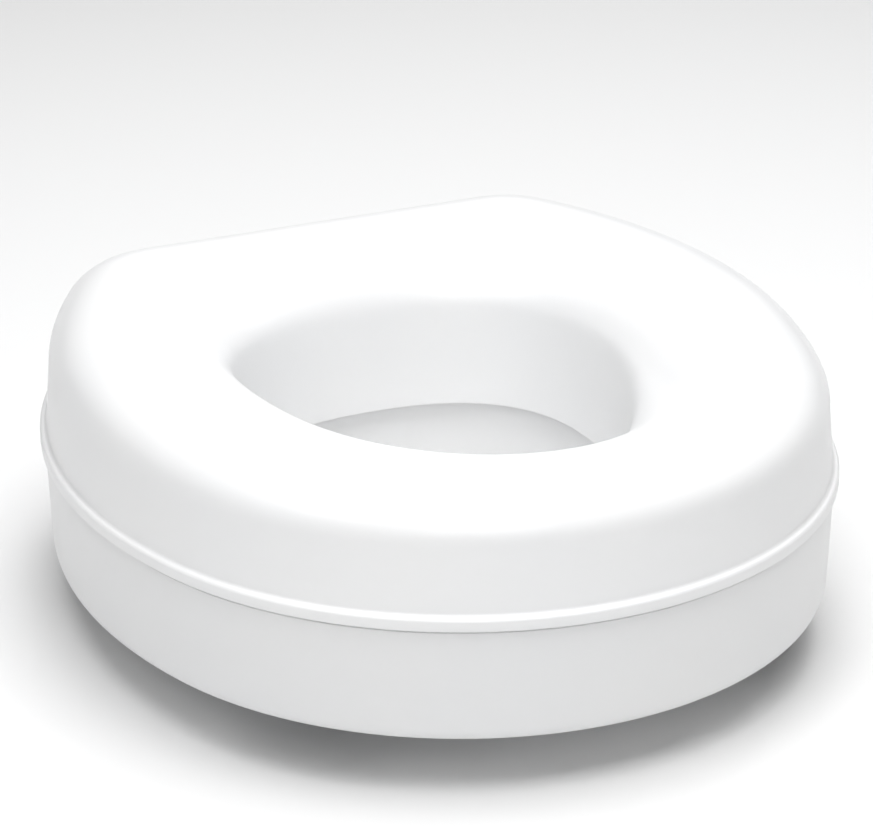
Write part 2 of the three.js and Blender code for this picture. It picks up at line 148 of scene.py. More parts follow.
def mesh_of(name, points, faces):
    mesh = bpy.data.meshes.new(name)
    mesh.from_pydata([tuple(p) for p in points], [], faces)
    mesh.validate()
    return mesh


def bevelled(mesh, width, segments=3, angle=30):
    """The mesh with its edges rounded."""
    holder = bpy.data.objects.new("bevel_holder", mesh)
    bpy.context.scene.collection.objects.link(holder)
    bevel = holder.modifiers.new("bevel", "BEVEL")
    bevel.width = width
    bevel.segments = segments
    bevel.limit_method = "ANGLE"
    bevel.angle_limit = math.radians(angle)
    result = evaluated(holder)
    bpy.data.objects.remove(holder)
    return result


def evaluated(holder):
    graph = bpy.context.evaluated_depsgraph_get()
    graph.update()
    return bpy.data.meshes.new_from_object(holder.evaluated_get(graph))


def combined(mesh, tools, operation):
    """The boolean of a mesh with several tools that don't touch each other."""
    holder = bpy.data.objects.new("boolean_holder", mesh)
    tool = bpy.data.objects.new("boolean_tool", joined("boolean_tool", tools))
    for made in (holder, tool):
        bpy.context.scene.collection.objects.link(made)
    boolean = holder.modifiers.new("boolean", "BOOLEAN")
    boolean.operation = operation
    boolean.solver = "EXACT"
    boolean.object = tool
    result = evaluated(holder)
    bpy.data.objects.remove(holder)
    bpy.data.objects.remove(tool)
    return result


def joined(name, meshes):
    """One mesh that holds several solids."""
    work = bmesh.new()
    for mesh in meshes:
        work.from_mesh(mesh)
    result = bpy.data.meshes.new(name)
    work.to_mesh(result)
    work.free()
    return result


def turned(name, profile, x, y, sides=48):
    """A solid turned about a vertical axis, from (radius, height) pairs that run upwards."""
    points, faces, rings = [], [], []
    for radius, height in profile:
        if radius == 0:
            rings.append([len(points)])
            points.append((x, y, height))
            continue
        rings.append(range(len(points), len(points) + sides))
        points += [
            (x + radius * math.cos(TURN * i / sides), y + radius * math.sin(TURN * i / sides), height)
            for i in range(sides)
        ]
    loops = list(zip(rings, rings[1:]))
    if len(rings[0]) > 1:
        loops.append((rings[-1], rings[0]))
    for low, high in loops:
        for i in range(sides):
            j = (i + 1) % sides
            corners = [low[i % len(low)], low[j % len(low)], high[j % len(high)], high[i % len(high)]]
            faces.append(list(dict.fromkeys(corners)))
    return mesh_of(name, points, faces)


def block(name, low, high):
    """A box between two corners, as a start for bevels and cuts."""
    work = bmesh.new()
    bmesh.ops.create_cube(work, size=1)
    size = [b - a for a, b in zip(low, high)]
    middle = [(a + b) / 2 for a, b in zip(low, high)]
    bmesh.ops.scale(work, vec=size, verts=work.verts)
    bmesh.ops.translate(work, vec=middle, verts=work.verts)
    mesh = bpy.data.meshes.new(name)
    work.to_mesh(mesh)
    work.free()
    return mesh


# ---- the outline, the opening and the sections between them ----
def outline_arcs():
    """The right half's stretches from the middle of the rear: (length, point and normal at a length)."""
    bend = np.array([math.cos(CORNER_END), math.sin(CORNER_END)])
    rear_half = HALF_WIDTH - SIDE_RADIUS * (1 - bend[0]) - CORNER_RADIUS * bend[0]
    corner = np.array([rear_half, HALF_LENGTH - CORNER_RADIUS])
    side = corner + (CORNER_RADIUS - SIDE_RADIUS) * bend
    reach = SIDE_RADIUS - HALF_LENGTH
    front_y = (reach**2 - side @ side) / (2 * (reach - side[1]))
    front_angle = math.atan2(front_y - side[1], -side[0])
    front = np.array([0, front_y])

    def arc(centre, radius, start, end):
        def at(distance):
            angle = start - distance / radius
            normal = np.array([math.cos(angle), math.sin(angle)])
            return centre + radius * normal, normal

        return radius * (start - end), at

    def rear(distance):
        return np.array([distance, HALF_LENGTH]), np.array([0.0, 1.0])

    return [
        (rear_half, rear),
        arc(corner, CORNER_RADIUS, QUARTER, CORNER_END),
        arc(side, SIDE_RADIUS, CORNER_END, front_angle),
        arc(front, front_y + HALF_LENGTH, front_angle, -QUARTER),
    ]


def outline(count):
    """Evenly spaced points and outward normals, anticlockwise from above, from the middle of the front."""
    stretches = outline_arcs()
    total = sum(length for length, _ in stretches)
    half = []
    for i in range(count // 2 + 1):
        distance = total * (1 - 2 * i / count)
        for length, at in stretches[:-1]:
            if distance <= length:
                break
            distance -= length
        else:
            length, at = stretches[-1]
        half.append(at(min(distance, length)))
    mirror = np.array([-1, 1])
    full = half + [(p * mirror, n * mirror) for p, n in reversed(half[1:-1])]
    return np.array([p for p, _ in full]), np.array([n for _, n in full])


def hole_edge(angles):
    """Points and outward normals of the opening at angles about its centre."""
    rear = np.sin(angles) > 0
    reach = np.where(rear, HOLE_REAR, HOLE_FRONT)
    amount = np.where(rear, HOLE_REAR_SWELL, HOLE_FRONT_SWELL)
    turn = np.arctan2(np.sin(angles) / reach, np.cos(angles) / HOLE_HALF_WIDTH)
    x = HOLE_HALF_WIDTH * np.cos(turn)
    y = reach * np.sin(turn)
    swell = 1 + amount * np.sin(2 * turn) ** 2
    growth = 2 * amount * np.sin(4 * turn)
    along_x = growth * x - swell * HOLE_HALF_WIDTH * np.sin(turn)
    along_y = growth * y + swell * reach * np.cos(turn)
    normal = np.column_stack([along_y, -along_x])
    normal /= np.linalg.norm(normal, axis=1, keepdims=True)
    return np.column_stack([swell * x, HOLE_Y + swell * y]), normal


RIM, RIM_NORMAL = outline(AROUND)
ANGLES = np.arctan2(RIM[:, 1] - HOLE_Y, RIM[:, 0])
HOLE, HOLE_NORMAL = hole_edge(ANGLES)


def front_dip(y):
    """How far the crest and the dish dip towards the front, by the outline's y."""
    share = np.clip((DIP_START - y) / (DIP_START + HALF_LENGTH), 0, 1)
    return FRONT_DIP * share**2 * (3 - 2 * share)


DIP = front_dip(RIM[:, 1])


def at_height(flat, z):
    return np.column_stack([flat, np.broadcast_to(z, len(flat))])


def inside(inset, z):
    """A ring set in from the outline."""
    return at_height(RIM - inset * RIM_NORMAL, z)


def around(offset, z):
    """A ring set out from the opening."""
    return at_height(HOLE + offset * HOLE_NORMAL, z)


def between(inset, offset, share, z):
    """A ring part of the way from the outline's side to the opening's."""
    return inside(inset, z) * (1 - share) + around(offset, z) * share


def corner(ring, centre, radii, start, end, steps):
    """Rings along a rounded corner of a section. Angles count from outwards towards up."""
    rings = []
    for i in range(steps + 1):
        angle = math.radians(start + (end - start) * i / steps)
        across = centre[0] + (-1 if ring is inside else 1) * radii[0] * math.cos(angle)
        rings.append(ring(across, centre[1] + radii[1] * math.sin(angle)))
    return rings


def ring_mesh(name, section):
    """A closed ring: its section runs up the outer side and back down the inner side."""
    around_count = len(section[0])
    count = len(section)
    points = np.concatenate(section)
    faces = []
    for j in range(count):
        up = (j + 1) % count
        for i in range(around_count):
            step = (i + 1) % around_count
            faces.append([
                j * around_count + i,
                j * around_count + step,
                up * around_count + step,
                up * around_count + i,
            ])
    return mesh_of(name, points, faces)


# ---- seat moulding ----
def lean(drop):
    """How far the opening has leant in at a depth below the crest: fast at first, upright at the end."""
    left = 1 - drop / (TOP_Z - DRIP_EDGE_Z)
    return -WALL_LEAN * (1 - left**2)


def seat_skin(depth, shoulder_steps=26, dish_steps=34):
    """The shoulder and the dish, set in by depth from the outer surface."""
    upper_inset = LIP_REACH + UPPER_TAPER
    foot = TOP_Z - SHOULDER_HEIGHT
    rings = [inside(upper_inset + depth, foot)]
    for i in range(1, shoulder_steps + 1):
        angle = QUARTER * i / shoulder_steps
        inset = upper_inset + depth + (SHOULDER_WIDTH - depth) * (1 - math.cos(angle))
        rise = (SHOULDER_HEIGHT - depth) * math.sin(angle)
        rings.append(inside(inset, foot + rise - DIP * math.sin(angle)))
    for i in range(1, dish_steps + 1):
        angle = QUARTER * i / dish_steps
        share = math.sin(angle) ** (2 / DISH_EDGE_POWER)
        edge = 1 - max(math.cos(angle), 0) ** (2 / DISH_EDGE_POWER)
        drop = DISH_SLOPE * share**2 + (DISH_EDGE - depth) * edge
        offset = depth + lean(depth + drop)
        rings.append(between(upper_inset + SHOULDER_WIDTH, offset, share, TOP_Z - depth - drop - DIP))
    return rings


def opening_wall(depth, bottom, steps=12):
    """The opening's wall from the dish down to a height, set in by depth."""
    start, stop = DISH_SLOPE + DISH_EDGE, TOP_Z - bottom
    rings = []
    for share in np.linspace(0, 1, steps + 1)[1:]:
        drop = start + (stop - start) * share
        rings.append(around(depth + lean(drop), TOP_Z - drop - DIP * (1 - share)))
    return rings


def seat_section():
    edge = 0.8 * MM
    ridge = 1.6 * MM
    flare = LIP_REACH - ridge
    inner_inset = LIP_REACH + SEAT_WALL
    outer_face = [
        *corner(inside, (edge, LIP_BOTTOM + edge), (edge, edge), -90, 0, 4),
        *corner(inside, (ridge, LIP_RIDGE - ridge), (ridge, ridge), 0, 90, 8),
        *corner(inside, (ridge, LIP_RIDGE + flare), (flare, flare), -90, -180, 10)[1:],
        *seat_skin(0),
        *opening_wall(0, DRIP_EDGE_Z + edge),
        *corner(around, (edge - WALL_LEAN, DRIP_EDGE_Z + edge), (edge, edge), 180, 270, 5)[1:],
    ]
    inner_face = [
        inside(inner_inset, LIP_BOTTOM),
        inside(inner_inset, LIP_RIDGE + 5.5 * MM),
        *seat_skin(SEAT_WALL, 12, 16),
        *opening_wall(SEAT_WALL, DRIP_EDGE_Z + edge, 6),
    ]
    return outer_face + inner_face[::-1]


# ---- riser base ----
def base_section():
    shoulder = LIP_BOTTOM - REVEAL
    tongue_inset = LIP_REACH + SEAT_WALL + GAP
    tongue_inner = tongue_inset + TONGUE_THICKNESS
    foot_width = BASE_FOOT_RADIUS / 2
    foot_centre = (BASE_FOOT_INSET + foot_width, FLANGE_BOTTOM + BASE_FOOT_RADIUS)
    outer = COLLAR_OFFSET + COLLAR_WALL
    edge = 0.8 * MM
    collar_top = COLLAR_TOP - edge
    skirt_edge = 1.4 * MM
    return [
        *corner(inside, foot_centre, (foot_width, BASE_FOOT_RADIUS), -90, 0, 10),
        *[
            inside(BASE_FOOT_INSET + (BASE_TOP_INSET - BASE_FOOT_INSET) * share,
                   foot_centre[1] + (shoulder - foot_centre[1]) * share)
            for share in np.linspace(0, 1, 12)[1:-1]
        ],
        inside(BASE_TOP_INSET, shoulder - 0.4 * MM),
        inside(BASE_TOP_INSET + 0.4 * MM, shoulder),
        inside(tongue_inset, shoulder),
        inside(tongue_inset, TONGUE_TOP - 0.5 * MM),
        inside(tongue_inset + 0.5 * MM, TONGUE_TOP),
        inside(tongue_inner, TONGUE_TOP),
        inside(tongue_inner, shoulder - 4 * MM),
        inside(BASE_TOP_INSET + BASE_WALL, shoulder - 9 * MM),
        inside(BASE_FOOT_INSET + BASE_WALL, FLANGE_TOP),
        around(outer, FLANGE_TOP),
        around(outer - 0.5 * MM, collar_top),
        *corner(around, (outer - 1.3 * MM, collar_top), (edge, edge), 0, 90, 3)[1:],
        *corner(around, (COLLAR_OFFSET + edge, collar_top), (edge, edge), 90, 180, 3),
        *[around(COLLAR_OFFSET, z) for z in np.linspace(collar_top, skirt_edge, 10)[1:]],
        *corner(around, (COLLAR_OFFSET + skirt_edge, skirt_edge), (skirt_edge, skirt_edge), 180, 270, 5)[1:],
        *corner(around, (outer - skirt_edge, skirt_edge), (skirt_edge, skirt_edge), 270, 360, 5),
        around(outer, FLANGE_BOTTOM - 1.5 * MM),
        around(outer + 0.5 * MM, FLANGE_BOTTOM - 0.5 * MM),
        around(outer + 1.5 * MM, FLANGE_BOTTOM),
    ]


def screw_places():
    """The screws' places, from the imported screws' own boxes."""
    places = {}
    for name in sorted(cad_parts):
        if name.startswith("shell_screw_"):
            low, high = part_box(name)
            places[name] = ((low[0] + high[0]) / 2, (low[1] + high[1]) / 2, low[2], high[2])
    return places


# ---- materials ----
def new_material(name):
    material = bpy.data.materials.new(name)
    material.use_nodes = True
    tree = material.node_tree
    shader = tree.nodes["Principled BSDF"]
    return material, tree, shader


def node(tree, kind, inputs=None, **settings):
    made = tree.nodes.new(kind)
    for key, value in settings.items():
        setattr(made, key, value)
    for key, value in (inputs or {}).items():
        if isinstance(value, bpy.types.NodeSocket):
            tree.links.new(value, made.inputs[key])
        else:
            made.inputs[key].default_value = value
    return made


def noise(tree, scale, detail=2.0, roughness=0.5, stretch=(1, 1, 1)):
    """Noise in the piece's own metres."""
    place = node(tree, "ShaderNodeTexCoord").outputs["Object"]
    mapping = node(tree, "ShaderNodeMapping", {"Vector": place, "Scale": stretch})
    return node(tree, "ShaderNodeTexNoise", {
        "Vector": mapping.outputs["Vector"], "Scale": scale, "Detail": detail, "Roughness": roughness,
    }).outputs["Fac"]


def ramp(tree, value, low, high, from_low=0.3, from_high=0.7):
    return node(tree, "ShaderNodeMapRange", {
        "Value": value, "From Min": from_low, "From Max": from_high, "To Min": low, "To Max": high,
    }).outputs["Result"]


def blend_colours(tree, value, first, second):
    mix = node(tree, "ShaderNodeMix", {"Factor": value}, data_type="RGBA")
    mix.inputs["A"].default_value = (*first, 1)
    mix.inputs["B"].default_value = (*second, 1)
    return mix.outputs["Result"]


def bump(tree, shader, height, strength, distance):
    made = node(tree, "ShaderNodeBump", {"Height": height, "Strength": strength, "Distance": distance})
    tree.links.new(made.outputs["Normal"], shader.inputs["Normal"])
    return made


def shell_plastic(name, tone_and_painted_shade):
    """Glossy white moulded plastic with a faint orange peel, soft wiped patches and fine hairlines."""
    material, tree, shader = new_material(name)
    tint = ramp(tree, noise(tree, 9, 3), 0, 1, 0.35, 0.65)
    # The shade factor darkens the whole colour. The base's copy at 0.945 is partly a greyer moulding and
    # partly painted shade on its lower wall and collar.
    dull = (0.850 * tone_and_painted_shade, 0.855 * tone_and_painted_shade, 0.862 * tone_and_painted_shade)
    clean = (0.862 * tone_and_painted_shade, 0.864 * tone_and_painted_shade, 0.866 * tone_and_painted_shade)
    colour = blend_colours(tree, tint, dull, clean)
    tree.links.new(colour, shader.inputs["Base Color"])
    wiped = ramp(tree, noise(tree, 14, 2, 0.4), 0.30, 0.36)
    hairlines = noise(tree, 900, 1, 0.4, (1, 1, 0.05))
    rough = node(tree, "ShaderNodeMath", {0: wiped, 1: ramp(tree, hairlines, 0, 0.02, 0.60, 0.80)},
                 operation="ADD")
    tree.links.new(rough.outputs["Value"], shader.inputs["Roughness"])
    bump(tree, shader, noise(tree, 420, 2), 0.06, 0.05 * MM)
    shader.inputs["IOR"].default_value = 1.49
    shader.inputs["Coat Weight"].default_value = 0.12
    shader.inputs["Coat Roughness"].default_value = 0.10
    return material


def bracket_plastic():
    """Satin grey nylon with a fine spark-eroded grain."""
    material, tree, shader = new_material("bracket_plastic")
    tint = ramp(tree, noise(tree, 60, 4), 0, 1)
    colour = blend_colours(tree, tint, (0.50, 0.52, 0.54), (0.56, 0.58, 0.60))
    tree.links.new(colour, shader.inputs["Base Color"])
    tree.links.new(ramp(tree, noise(tree, 180, 3), 0.38, 0.52), shader.inputs["Roughness"])
    bump(tree, shader, noise(tree, 2600, 2), 0.25, 0.05 * MM)
    shader.inputs["IOR"].default_value = 1.53
    return material


def pad_rubber():
    """Matt grey rubber with a dusty bloom and a pebbled grain."""
    material, tree, shader = new_material("pad_rubber")
    bloom = ramp(tree, noise(tree, 90, 5, 0.6), 0, 1)
    colour = blend_colours(tree, bloom, (0.105, 0.110, 0.118), (0.155, 0.158, 0.162))
    tree.links.new(colour, shader.inputs["Base Color"])
    tree.links.new(ramp(tree, noise(tree, 220, 3), 0.66, 0.86), shader.inputs["Roughness"])
    bump(tree, shader, noise(tree, 1800, 3), 0.35, 0.08 * MM)
    shader.inputs["IOR"].default_value = 1.52
    return material


def fastener_steel():
    """Bright zinc plate, slightly clouded."""
    material, tree, shader = new_material("fastener_steel")
    cloud = ramp(tree, noise(tree, 300, 4), 0, 1)
    colour = blend_colours(tree, cloud, (0.56, 0.58, 0.61), (0.66, 0.67, 0.68))
    tree.links.new(colour, shader.inputs["Base Color"])
    tree.links.new(ramp(tree, noise(tree, 900, 3), 0.20, 0.36), shader.inputs["Roughness"])
    bump(tree, shader, noise(tree, 2400, 2), 0.15, 0.02 * MM)
    shader.inputs["Metallic"].default_value = 1.0
    return material


def floor_paint():
    material, tree, shader = new_material("floor_paint")
    tint = ramp(tree, noise(tree, 0.8, 2), 0, 1)
    colour = blend_colours(tree, tint, (0.80, 0.802, 0.805), (0.81, 0.81, 0.808))
    tree.links.new(colour, shader.inputs["Base Color"])
    shader.inputs["Roughness"].default_value = 0.7
    return material


SEAT_SHELL = shell_plastic("seat_shell_plastic", tone_and_painted_shade=1.0)
# The base moulding's copy is about 5% darker: partly a greyer moulding, partly painted shade on its lower
# wall and collar.
BASE_SHELL_GREYER_AND_PAINTED_SHADE = shell_plastic("base_shell_plastic_greyer_and_painted_shade", tone_and_painted_shade=0.945)
BRACKET = bracket_plastic()
RUBBER = pad_rubber()
STEEL = fastener_steel()


# ---- solids from stacks of rings ----
def stack_mesh(name, rings):
    """A closed solid from rings of points that run upwards, capped with a fan at both ends."""
    count = len(rings[0])
    ends = [np.mean(rings[0], axis=0), np.mean(rings[-1], axis=0)]
    points = np.concatenate([*rings, ends])
    bottom, top = len(points) - 2, len(points) - 1
    last = (len(rings) - 1) * count
    faces = []
    for i in range(count):
        step = (i + 1) % count
        faces.append([bottom, step, i])
        faces.append([top, last + i, last + step])
        for low in range(0, last, count):
            faces.append([low + i, low + step, low + count + step, low + count + i])
    return mesh_of(name, points, faces)


def round_ring(radius, z, x, y, sides):
    """A ring about a vertical axis; its radius may vary from point to point."""
    angles = TURN * np.arange(sides) / sides
    return np.column_stack([
        x + radius * np.cos(angles),
        y + radius * np.sin(angles),
        np.broadcast_to(z, sides),
    ])


def thread(radius, depth, pitch, bottom, top, x, y, sides, rings_per_turn=8):
    """Rings of a helical thread that fades out at both ends."""
    steps = round(rings_per_turn * (top - bottom) / pitch)
    around_share = np.arange(sides) / sides
    rings = []
    for z in np.linspace(bottom, top, steps + 1):
        phase = (z / pitch - around_share) % 1
        valley = 1 - np.abs(2 * phase - 1)
        fade = min(1, (z - bottom) / pitch, (top - z) / pitch)
        rings.append(round_ring(radius - depth * fade * valley, z, x, y, sides))
    return rings


def moved(mesh, x, y, z=0):
    result = mesh.copy()
    result.transform(Matrix.Translation((x, y, z)))
    return result


def mirrored(mesh):
    """A copy on the other side of the seat."""
    result = mesh.copy()
    result.transform(Matrix.Diagonal((-1, 1, 1, 1)))
    result.flip_normals()
    return result


def extruded(name, outline_points, low, high):
    """A prism along Y from points in the XZ plane that run anticlockwise seen from the front."""
    count = len(outline_points)
    points = [(x, y, z) for y in (low, high) for x, z in outline_points]
    faces = [list(range(count)), list(range(2 * count - 1, count - 1, -1))]
    for i in range(count):
        step = (i + 1) % count
        faces.append([i, i + count, step + count, step])
    return mesh_of(name, points, faces)


# ---- the two mouldings ----
def radial_rib(place, bottom, top, inner_offset, outer_inset):
    """An upright plate through a screw's place, from the opening's side to the outline's side."""
    station = int(np.argmin(np.hypot(*(inside(SCREW_INSET, 0)[:, :2] - place).T)))
    start = around(inner_offset, 0)[station][:2]
    end = inside(outer_inset, 0)[station][:2]
    length = float(np.hypot(*(end - start)))
    half = RIB_THICKNESS / 2
    rib = block("rib", (-length / 2, -half, bottom), (length / 2, half, top))
    rib.transform(Matrix.Rotation(math.atan2(*(end - start)[::-1]), 4, "Z"))
    return moved(rib, *((start + end) / 2))


def make_seat():
    """The seat moulding, with the bosses and ribs under its skin."""
    places = [Vector(place[:2]) for place in SCREWS.values()]
    filling = ring_mesh("filling", [
        inside(LIP_REACH + UPPER_TAPER + 1 * MM, WELL_TOP + GAP),
        *seat_skin(1 * MM, 12, 16),
        around(1 * MM + lean(TOP_Z - WELL_TOP), WELL_TOP + GAP),
    ])
    ribs = [radial_rib(place, SEAT_RIB_BOTTOM, TOP_Z, -WALL_LEAN, 0) for place in places]
    bosses = [turned("boss", [(0, RIM_Z), (BOSS_RADIUS, RIM_Z), (BOSS_RADIUS, TOP_Z), (0, TOP_Z)], *place)
              for place in places]
    pilots = [turned("pilot", pin_profile(PILOT_RADIUS, WELL_TOP, WELL_TOP + SCREW_GRIP + 3 * MM), *place, 24)
              for place in places]
    inner = combined(joined("ribs", ribs), bosses, "UNION")
    inner = combined(inner, [filling], "INTERSECT")
    seat = combined(ring_mesh("seat_ring", seat_section()), [inner], "UNION")
    seat = combined(seat, pilots, "DIFFERENCE")
    piece("seat_top", smooth(seat), SEAT_SHELL, "riser", "shell_plastic", "seat_shell")


def pin_profile(radius, bottom, top):
    return [(0, bottom), (radius, bottom), (radius, top), (0, top)]


def well_profile():
    """The bore of a screw's well, a little wider at its mouth, from below the flange to the screw's seat."""
    roof = WELL_TOP - WELL_PLATE
    return [
        (0, RIM_Z - 5 * MM),
        (WELL_RADIUS + 0.8 * MM, RIM_Z - 5 * MM),
        (WELL_RADIUS + 0.8 * MM, FLANGE_BOTTOM),
        (WELL_RADIUS, FLANGE_BOTTOM + 0.8 * MM),
        (WELL_RADIUS, roof),
        (0, roof),
    ]


def make_base():
    """The riser base, with its wells, ribs, pad recesses and bolt slots."""
    places = [Vector(place[:2]) for place in SCREWS.values()]
    wall = COLLAR_OFFSET + COLLAR_WALL / 2
    foot = FLANGE_BOTTOM + 2 * MM
    ribs = [radial_rib(place, foot, BASE_RIB_TOP, wall, BASE_FOOT_INSET + BASE_WALL / 2) for place in places]
    towers = [turned("tower", pin_profile(WELL_RADIUS + WELL_WALL, foot, WELL_TOP), *place)
              for place in places]
    bores = [turned("bore", well_profile(), *place) for place in places]
    clearances = [turned("clearance", pin_profile(PILOT_RADIUS, RIM_Z, WELL_TOP + 5 * MM), *place, 24)
                  for place in places]
    recesses = [pad_sweep("recess", *stretch, recess_section(), -PAD_END_GAP) for stretch in PADS.values()]
    slots = [bolt_slot(side) for side in SIDES.values()]
    inner = combined(joined("ribs", ribs), towers, "UNION")
    base = combined(ring_mesh("base_ring", base_section()), [inner], "UNION")
    base = combined(base, bores, "DIFFERENCE")
    base = combined(base, [*clearances, *recesses, *slots], "DIFFERENCE")
    # The base wears the darker copy of the shell plastic: partly a greyer moulding, partly painted shade.
    piece("riser_base", smooth(base), BASE_SHELL_GREYER_AND_PAINTED_SHADE, "riser", "shell_plastic", "base_shell")


def bolt_slot(side):
    """The cutter for a slot in the flange: long enough for the bracket's travel, and square enough at its
    ends for the bolt's neck."""
    x, y = bolt_place("left" if side < 0 else "right")
    fillet = 0.8 * MM
    reach = BOLT_HOLE - fillet
    near, far = sorted((x, x + side * BRACKET_TRAVEL))
    turns = np.linspace(0, QUARTER, 7)
    corners = [(far + reach, reach), (near - reach, reach), (near - reach, -reach), (far + reach, -reach)]
    flat = np.concatenate([
        np.column_stack([
            across + fillet * np.cos(turns + QUARTER * i),
            y + along + fillet * np.sin(turns + QUARTER * i),
        ])
        for i, (across, along) in enumerate(corners)
    ])
    return stack_mesh("slot", [at_height(flat, RIM_Z - 5 * MM), at_height(flat, FLANGE_TOP + 5 * MM)])


# ---- rubber pads under the flange ----
def pad_stretch(name):
    """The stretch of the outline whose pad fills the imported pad's box."""
    low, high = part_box(name)
    edges = [FINE_RIM - inset * FINE_NORMAL for inset in (PAD_OUTER_INSET, PAD_INNER_INSET)]
    reached = np.concatenate([edges[0], edges[1]], axis=1)
    near = np.hypot(FINE_RIM[:, 0] - (low[0] + high[0]) / 2, FINE_RIM[:, 1] - (low[1] + high[1]) / 2)
    middle = int(np.argmin(near))
    best = None
    for before in range(20, 90):
        for after in range(20, 90):
            stretch = reached[middle - before:middle + after]
            flat = np.concatenate([stretch[:, :2], stretch[:, 2:]])
            error = np.abs(flat.min(axis=0) - low[:2]).sum() + np.abs(flat.max(axis=0) - high[:2]).sum()
            if best is None or error < best[0]:
                best = (error, middle - before, middle + after)
    return best[1], best[2]


def pad_sweep(name, start, end, section, end_gap=0.0):
    """A section swept along the outline, shortened at both ends by a gap."""
    spacing = float(np.hypot(*(FINE_RIM[start + 1] - FINE_RIM[start])))
    shorter = end_gap / spacing
    stations = np.linspace(start + shorter, end - 1 - shorter, 34)
    index = np.arange(len(FINE_RIM))
    rim = np.column_stack([np.interp(stations, index, FINE_RIM[:, i]) for i in range(2)])
    normal = np.column_stack([np.interp(stations, index, FINE_NORMAL[:, i]) for i in range(2)])
    count = len(section)
    points = [
        (*(place - inset * out), z)
        for place, out in zip(rim, normal)
        for inset, z in section
    ]
    last = (len(stations) - 1) * count
    faces = [list(range(count)), list(range(last + count - 1, last - 1, -1))]
    for low in range(0, last, count):
        for i in range(count):
            step = (i + 1) % count
            faces.append([low + i, low + count + i, low + count + step, low + step])
    return mesh_of(name, points, faces)


def recess_section():
    outer, inner = PAD_OUTER_INSET - 0.35 * MM, PAD_INNER_INSET + 0.35 * MM
    roof = PAD_TOP + GAP
    return [(outer, RIM_Z - 5 * MM), (outer, roof), (inner, roof), (inner, RIM_Z - 5 * MM)]


def pad_section():
    """Rounded edges, and four tread grooves along the lower face."""
    edge = 0.7 * MM
    arcs = [
        (PAD_OUTER_INSET + edge, RIM_Z + edge, 270, 180),
        (PAD_OUTER_INSET + edge, PAD_TOP - edge, 180, 90),
        (PAD_INNER_INSET - edge, PAD_TOP - edge, 90, 0),
        (PAD_INNER_INSET - edge, RIM_Z + edge, 0, -90),
    ]
    section = []
    for inset, z, start, stop in arcs:
        for turn in np.radians(np.linspace(start, stop, 4)):
            section.append((inset + edge * math.cos(turn), z + edge * math.sin(turn)))
    pitch = (PAD_INNER_INSET - PAD_OUTER_INSET) / 5
    for i in range(4, 0, -1):
        middle = PAD_OUTER_INSET + i * pitch
        section += [
            (middle + 0.9 * MM, RIM_Z),
            (middle + 0.5 * MM, RIM_Z + 0.9 * MM),
            (middle - 0.5 * MM, RIM_Z + 0.9 * MM),
            (middle - 0.9 * MM, RIM_Z),
        ]
    return section


def make_pads():
    for name, stretch in PADS.items():
        pad = pad_sweep(name, *stretch, pad_section())
        piece(f"{name}_rubber", smooth(pad, 40), RUBBER, "riser", "pad_rubber", name)


# ---- screws ----
def screw_mesh(low, high):
    """A pan-head screw seen from below: a domed head with a cross recess, and a threaded shank."""
    head_radius = 4.2 * MM
    head_top = low + 2.6 * MM
    sides = 32
    dome = [(0.55, 0.0), (0.76, 0.14), (0.9, 0.38), (0.97, 0.66), (1.0, 0.92), (1.0, 1.0)]
    rings = [
        round_ring(head_radius * across, low + (head_top - low) * up, 0, 0, sides)
        for across, up in dome
    ]
    rings.append(round_ring(2.2 * MM, head_top, 0, 0, sides))
    rings += thread(2.0 * MM, 0.55 * MM, 1.8 * MM, head_top + 0.3 * MM, high - 2 * MM, 0, 0, sides)
    rings.append(round_ring(1.3 * MM, high - 1 * MM, 0, 0, sides))
    rings.append(round_ring(0.3 * MM, high, 0, 0, sides))
    long, short, deep = 2.3 * MM, 0.45 * MM, 1.5 * MM
    cross = combined(
        block("slot", (-long, -short, low - deep), (long, short, low + deep)),
        [block("slot", (-short, -long, low - deep), (short, long, low + deep))],
        "UNION",
    )
    return combined(stack_mesh("screw", rings), [cross], "DIFFERENCE")


def make_screws():
    first = next(iter(SCREWS.values()))
    screw = screw_mesh(first[2], first[3])
    for number, (name, (x, y, _, _)) in enumerate(SCREWS.items()):
        turned_screw = screw.copy()
        turned_screw.transform(Matrix.Rotation(0.7 * number, 4, "Z"))
        piece(f"{name}_cross_head", smooth(moved(turned_screw, x, y), 40), STEEL, "riser",
              "fastener_steel", name)


# ---- side brackets ----
def arc_points(centre, radius, start, stop, steps=6):
    """Points on an arc in the XZ plane. Angles count from +X towards +Z."""
    turns = np.radians(np.linspace(start, stop, steps + 1))
    return [(centre[0] + radius * math.cos(t), centre[1] + radius * math.sin(t)) for t in turns]


